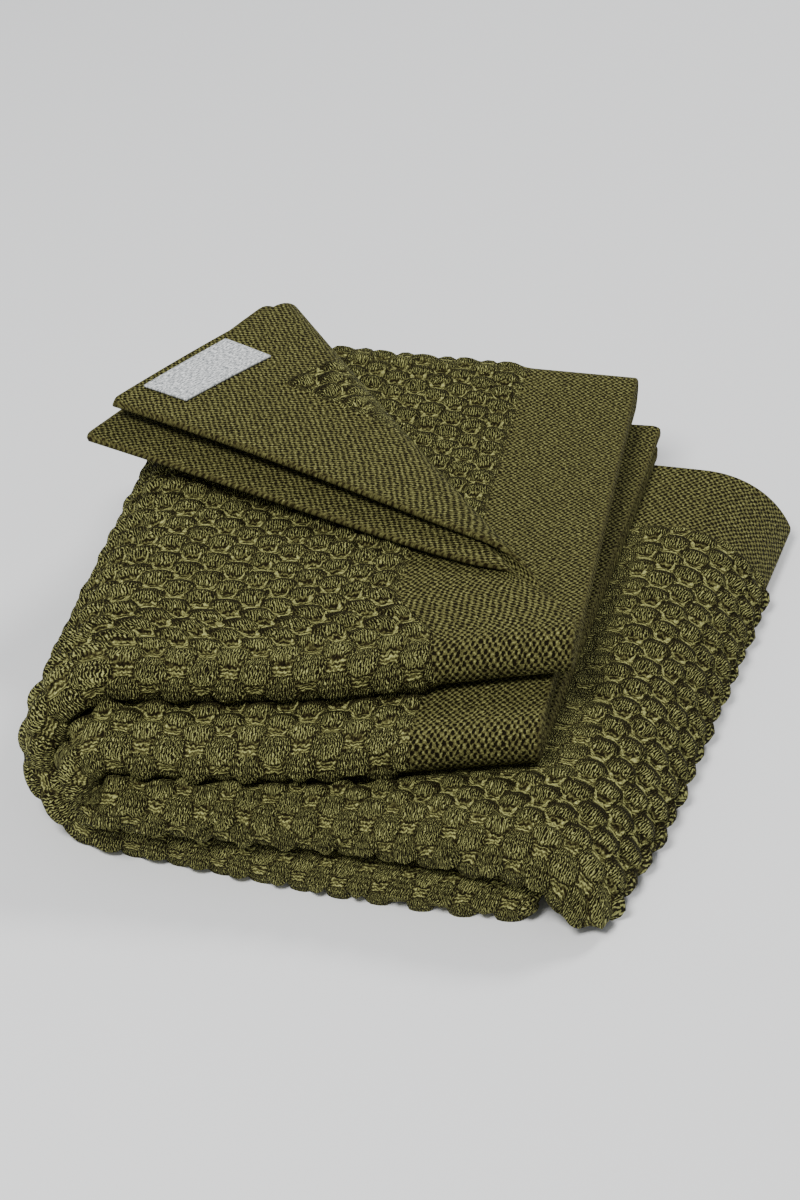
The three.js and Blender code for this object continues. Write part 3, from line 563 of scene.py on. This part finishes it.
# Cotton yarn knitted in two stitches: matt, with painted near-black shade in the gaps between bright loops
# and a faint fibre sheen. Height: in a pad the V legs fall off as 1 - (distance from the leg)^2, between the
# pads strands run as a cosine bent by a cosine, and on the border pits lie where cos x cos y is low.
# Colour: the same height and a fibre noise pick the yarn tone. Single fibres are too fine to show,
# so their noise is drawn at 0.8 mm. The strands' 1.15 mm spacing is given.
def makeCotton():
    material, tree = startMaterial("knitCotton")
    uv = addNode(tree, "ShaderNodeUVMap", {}, uv_map="knit")
    noise = addNode(tree, "ShaderNodeTexNoise", {"Vector": uv, "Scale": 340.0, "Detail": 3.0,
                                                 "Roughness": 0.65}).node
    shifted = addNode(tree, "ShaderNodeVectorMath", {0: noise.outputs["Color"], 1: (0.5, 0.5, 0.5)},
                      operation="SUBTRACT")
    shifted = addNode(tree, "ShaderNodeVectorMath", {0: shifted, "Scale": cotton["stitchNoise"] / 1000},
                      operation="SCALE")
    warped = addNode(tree, "ShaderNodeVectorMath", {0: uv, 1: shifted}, operation="ADD")
    parts = addNode(tree, "ShaderNodeSeparateXYZ", {0: warped}).node
    edge = addNode(tree, "ShaderNodeAttribute", {}, attribute_name="edgeDistance").node.outputs["Fac"]
    lean = addNode(tree, "ShaderNodeAttribute", {}, attribute_name="lean").node.outputs["Fac"]
    onFold = addNode(tree, "ShaderNodeAttribute", {}, attribute_name="onFold").node.outputs["Fac"]
    fibre = addNode(tree, "ShaderNodeTexNoise", {"Vector": uv, "Scale": 1000 / cotton["fibreSize"],
                                                 "Detail": 3.0, "Roughness": 0.7})
    p, q = knit["padAcross"], knit["padDown"]
    ra, rb = knit["padHalfWidth"], knit["padHalfLength"]
    turn = 2 * math.pi
    known = dict(uMetres=parts.outputs[0], vMetres=parts.outputs[1], edge=edge, lean=lean, fibre=fibre,
                 onFold=onFold)
    # a and b are the knit coordinates in mm; da and db the place in the nearest pad, r its ellipse.
    # RANGE eases its source from least to most between two values; all else is a Math node.
    table = [
        ("a", "MULTIPLY", "uMetres", 1000.0),
        ("b", "MULTIPLY", "vMetres", 1000.0),
        ("aHalf", "ADD", "a", p / 2),
        ("bHalf", "ADD", "b", q / 2),
        ("da1", "WRAP", "a", p / 2, -p / 2),
        ("db1", "WRAP", "b", q / 2, -q / 2),
        ("da2", "WRAP", "aHalf", p / 2, -p / 2),
        ("db2", "WRAP", "bHalf", q / 2, -q / 2),
        ("xa1", "DIVIDE", "da1", ra),
        ("xb1", "DIVIDE", "db1", rb),
        ("xa2", "DIVIDE", "da2", ra),
        ("xb2", "DIVIDE", "db2", rb),
        ("ya1", "MULTIPLY", "xa1", "xa1"),
        ("ya2", "MULTIPLY", "xa2", "xa2"),
        ("r1", "MULTIPLY_ADD", "xb1", "xb1", "ya1"),
        ("r2", "MULTIPLY_ADD", "xb2", "xb2", "ya2"),
        ("second", "LESS_THAN", "r2", "r1"),
        ("r", "MINIMUM", "r1", "r2"),
        ("daGap", "SUBTRACT", "da2", "da1"),
        ("dbGap", "SUBTRACT", "db2", "db1"),
        ("da", "MULTIPLY_ADD", "second", "daGap", "da1"),
        ("db", "MULTIPLY_ADD", "second", "dbGap", "db1"),
        # Wales fan out down the pad; V stitches run along each.
        ("dbNear", "MULTIPLY", "db", "lean"),
        ("fan", "MULTIPLY_ADD", "dbNear", 0.035 * cotton["waleWidth"], cotton["waleWidth"]),
        ("wale", "DIVIDE", "da", "fan"),
        ("slant", "PINGPONG", "wale", 0.5),
        ("row", "DIVIDE", "b", cotton["stitchLength"]),
        ("rowPart", "FRACT", "row"),
        ("rowTurn", "MULTIPLY_ADD", "rowPart", turn, -math.pi),
        ("rowWave", "COSINE", "rowTurn"),
        ("rowSwell", "MULTIPLY_ADD", "rowWave", 0.16, 0.86),
        ("legPlace", "MULTIPLY_ADD", "rowPart", 0.17, 0.165),
        ("legOff", "SUBTRACT", "slant", "legPlace"),
        ("legNear", "DIVIDE", "legOff", 0.175),
        ("legSquare", "MULTIPLY", "legNear", "legNear"),
        ("legRound", "SUBTRACT", 1.0, "legSquare"),
        ("leg", "MAXIMUM", "legRound", 0.0),
        ("legBody", "MULTIPLY", "leg", "rowSwell"),
        ("pad", "MULTIPLY", "legBody", 1.1),
        # Between the pads strands run across in small waves.
        ("floatSide", "MULTIPLY", "a", turn / cotton["waleWidth"]),
        ("floatBend", "COSINE", "floatSide"),
        ("floatDown", "MULTIPLY", "b", turn / cotton["floatPitch"]),
        ("floatTurn", "MULTIPLY_ADD", "floatBend", 0.7, "floatDown"),
        ("floatWave", "COSINE", "floatTurn"),
        ("floats", "MULTIPLY_ADD", "floatWave", 0.2, 0.42),
        # Moss stitch: small pits where cos cos is lowest, staggered from row to row.
        ("mossA", "MULTIPLY", "a", turn / cotton["mossAcross"]),
        ("mossB", "MULTIPLY", "b", turn / cotton["mossDown"]),
        ("mossCosA", "COSINE", "mossA"),
        ("mossCosB", "COSINE", "mossB"),
        ("mossBoth", "MULTIPLY", "mossCosA", "mossCosB"),
        ("mossOpen", "RANGE", "mossBoth", -0.85, 0.1, 0, 0.54),
        # Where each pattern holds: in a pad, on its rim or ring, in the body and at the edge.
        ("inPad", "RANGE", "r", 1.1, 0.8, 0, 1),
        ("rimIn", "RANGE", "r", 0.8, 1.15, 0, 1),
        ("rimOut", "RANGE", "r", 2.0, 1.45, 0, 1),
        ("ringIn", "RANGE", "r", 0.78, 1.0, 0, 1),
        ("ringOut", "RANGE", "r", 1.35, 1.05, 0, 1),
        ("farSide", "RANGE", "dbNear", 0.35 * rb, -0.25 * rb, 0, 1),
        ("body", "RANGE", "edge", knit["border"] - 1, knit["border"] + 1.5, 0, 1),
        ("selvedge", "RANGE", "edge", 2.2, 0.8, 0, 1),
        # Tone along each pad: lighter towards its near end, and painted shade over its far half.
        ("nearBody", "RANGE", "dbNear", 0, 0.95 * rb, 0, 0.35),
        ("padShadeNear", "RANGE", "dbNear", -0.4 * rb, 0.85 * rb, 0.32, 1),
        ("padShadeFar", "RANGE", "dbNear", -0.2 * rb, -0.85 * rb, 0, 0.5),
        # Each pad lies low across its far half, under a bright rim of strands, and there its colour is
        # darkened as painted shade; on the folds it lies open and takes less of it.
        ("padShadeFull", "ADD", "padShadeNear", "padShadeFar"),
        ("padShadeGap", "SUBTRACT", 1.0, "padShadeFull"),
        ("padShadeShare", "MULTIPLY", "onFold", 0.75),
        ("rise", "MULTIPLY_ADD", "padShadeGap", "padShadeShare", "padShadeFull"),
        ("nearFold", "MULTIPLY_ADD", "onFold", 0.75, 0.25),
        ("padFull", "MULTIPLY_ADD", "nearBody", "nearFold", "pad"),
        ("padShaded", "MULTIPLY", "padFull", "rise"),
        ("floatsLow", "MULTIPLY_ADD", "onFold", 0.09, "floats"),
        ("padGap", "SUBTRACT", "padShaded", "floatsLow"),
        ("cells", "MULTIPLY_ADD", "inPad", "padGap", "floatsLow"),
        ("rimBand", "MULTIPLY", "rimIn", "rimOut"),
        ("rimPart", "MULTIPLY", "rimBand", "farSide"),
        ("rimFold", "MULTIPLY_ADD", "onFold", -0.6, 1.0),
        ("rim", "MULTIPLY", "rimPart", "rimFold"),
        # Painted shade in a ring round each pad on the folds, where the pad meets the strands; it also
        # lowers the bump there.
        ("ringBand", "MULTIPLY", "ringIn", "ringOut"),
        ("ringShadeOnFolds", "MULTIPLY", "ringBand", "onFold"),
        ("ringShaded", "MULTIPLY_ADD", "ringShadeOnFolds", -0.2, "cells"),
        ("comb", "MULTIPLY_ADD", "rim", 0.5, "ringShaded"),
        ("moss", "MULTIPLY_ADD", "mossBoth", 0.11, "mossOpen"),
        ("combGap", "SUBTRACT", "comb", "moss"),
        ("cloth", "MULTIPLY_ADD", "body", "combGap", "moss"),
        ("edgeGap", "SUBTRACT", 0.5, "cloth"),
        ("edgeShare", "MULTIPLY", "selvedge", 0.65),
        ("height", "MULTIPLY_ADD", "edgeShare", "edgeGap", "cloth"),
        ("fibreShift", "MULTIPLY_ADD", "fibre", 0.9, -0.45),
        ("tone", "ADD", "height", "fibreShift"),
    ]
    for name, operation, *terms in table:
        inputs = {i: known[term] if isinstance(term, str) else term for i, term in enumerate(terms)}
        if operation == "RANGE":
            known[name] = addNode(tree, "ShaderNodeMapRange", inputs, interpolation_type="SMOOTHSTEP")
        else:
            known[name] = addNode(tree, "ShaderNodeMath", inputs, operation=operation)
    # Painted shade: the lowest heights, in the gaps between loops, the moss pits and the pads' far halves,
    # take the two darkest tones.
    ramp = addNode(tree, "ShaderNodeValToRGB", {0: known["tone"]}).node
    stops = [(0.2, "gapShade"), (0.38, "dark"), (0.6, "olive"), (0.84, "bright")]
    for order, (at, name) in enumerate(stops):
        stop = ramp.color_ramp.elements[order] if order < 2 else ramp.color_ramp.elements.new(at)
        stop.position = at
        stop.color = toLinear(cotton[name])
    bump = addNode(tree, "ShaderNodeBump", {"Height": known["height"], "Strength": 1.0,
                                             "Distance": cotton["bumpHeight"]})
    shader = addNode(tree, "ShaderNodeBsdfPrincipled", {"Base Color": ramp.outputs[0], "Roughness": 0.85,
                     "Normal": bump, "Specular IOR Level": 0.08, "Sheen Weight": 0.05,
                     "Sheen Roughness": 0.5, "Sheen Tint": toLinear(cotton["bright"])})
    addNode(tree, "ShaderNodeOutputMaterial", {"Surface": shader})
    return material


# Felt greys, and the length and width of its streaks in mm.
felt = dict(grey="#b0b2b1", pale="#f4f5f2", dark="#5f656a", fibreAcross=1.5, fibreDown=0.7)


# Pressed felt of mixed grey fibres: matt, with short pale and dark streaks.
# Colour: noise stretched along the label picks dark, grey or pale. Real fibres are far thinner,
# and are drawn as coarse as the streaks that show.
def makeFelt():
    material, tree = startMaterial("greyFelt")
    uv = addNode(tree, "ShaderNodeUVMap", {}, uv_map="knit")
    stretched = addNode(tree, "ShaderNodeMapping", {"Vector": uv, "Scale": (1000 / felt["fibreAcross"],
                       1000 / felt["fibreDown"], 1.0)})
    fibres = addNode(tree, "ShaderNodeTexNoise", {"Vector": stretched, "Scale": 1.0, "Detail": 3.0,
                                                  "Roughness": 0.7})
    ramp = addNode(tree, "ShaderNodeValToRGB", {0: fibres}).node
    for order, (at, name) in enumerate([(0.36, "dark"), (0.49, "grey"), (0.62, "pale")]):
        stop = ramp.color_ramp.elements[order] if order < 2 else ramp.color_ramp.elements.new(at)
        stop.position = at
        stop.color = toLinear(felt[name])
    bump = addNode(tree, "ShaderNodeBump", {"Height": fibres, "Strength": 0.6, "Distance": 0.0002})
    shader = addNode(tree, "ShaderNodeBsdfPrincipled", {"Base Color": ramp.outputs[0], "Roughness": 0.95,
                     "Normal": bump, "Specular IOR Level": 0.2, "Sheen Weight": 0.2, "Sheen Roughness": 0.5})
    addNode(tree, "ShaderNodeOutputMaterial", {"Surface": shader})
    return material


# One even colour, for the floor.
def plain(name, colour, roughness):
    material, tree = startMaterial(name)
    shader = addNode(tree, "ShaderNodeBsdfPrincipled", {"Base Color": colour, "Roughness": roughness})
    addNode(tree, "ShaderNodeOutputMaterial", {"Surface": shader})
    return material


blanket.data.materials.append(makeCotton())
feltLabel.data.materials.append(makeFelt())
print("materials made")

# A wide plain floor under the pile, its half side in metres, and the world's light.
stage = dict(floorHalf=4.0, floorColour=(0.88, 0.88, 0.87, 1), floorRoughness=0.7,
             worldColour=(0.9, 0.93, 1, 1), worldStrength=0.42)
h = stage["floorHalf"]
floorData = bpy.data.meshes.new("paleFloor")
floorData.from_pydata([(-h, -h, 0), (h, -h, 0), (h, h, 0), (-h, h, 0)], [], [(0, 1, 2, 3)])
floor = bpy.data.objects.new("paleFloor", floorData)
bpy.context.scene.collection.objects.link(floor)
floorData.materials.append(plain("palePaper", stage["floorColour"], stage["floorRoughness"]))

# Soft light from above and behind at the right, and one from above and in front.
lights = [dict(name="backRightLight", at=(0.75, 1.15, 1.45), size=0.55, watts=21.0),
          dict(name="frontLight", at=(-0.35, -1.02, 1.58), size=0.6, watts=37.0)]
for spec in lights:
    lamp = bpy.data.lights.new(spec["name"], "AREA")
    lamp.shape = "DISK"
    lamp.size = spec["size"]
    lamp.energy = spec["watts"]
    lampObject = bpy.data.objects.new(spec["name"], lamp)
    lampObject.location = spec["at"]
    lampObject.rotation_euler = (-Vector(spec["at"])).to_track_quat("-Z", "Y").to_euler()
    bpy.context.scene.collection.objects.link(lampObject)
world = bpy.data.worlds.new("paleWorld")
world.use_nodes = True
world.node_tree.nodes["Background"].inputs[0].default_value = stage["worldColour"]
world.node_tree.nodes["Background"].inputs[1].default_value = stage["worldStrength"]
bpy.context.scene.world = world

# Camera at the angle of the photograph: 35 degrees down and turned 10.4 degrees.
view = dict(pitch=35.0, yaw=10.4478, distance=1.01, lens=79.562, aim=(-0.009409, 0.004455, 0.0264))
pitch, yaw = math.radians(view["pitch"]), math.radians(view["yaw"])
forward = Vector((-math.sin(yaw) * math.cos(pitch), math.cos(yaw) * math.cos(pitch), -math.sin(pitch)))
right = Vector((math.cos(yaw), math.sin(yaw), 0))
upward = right.cross(forward)
cameraData = bpy.data.cameras.new("photoCamera")
cameraData.sensor_fit = "VERTICAL"
cameraData.sensor_height = 36
cameraData.lens = view["lens"]
camera = bpy.data.objects.new("photoCamera", cameraData)
turnTo = Matrix((right, upward, -forward)).transposed()
camera.matrix_world = Matrix.Translation(Vector(view["aim"]) - forward * view["distance"]) @ turnTo.to_4x4()
bpy.context.scene.collection.objects.link(camera)
bpy.context.scene.camera = camera
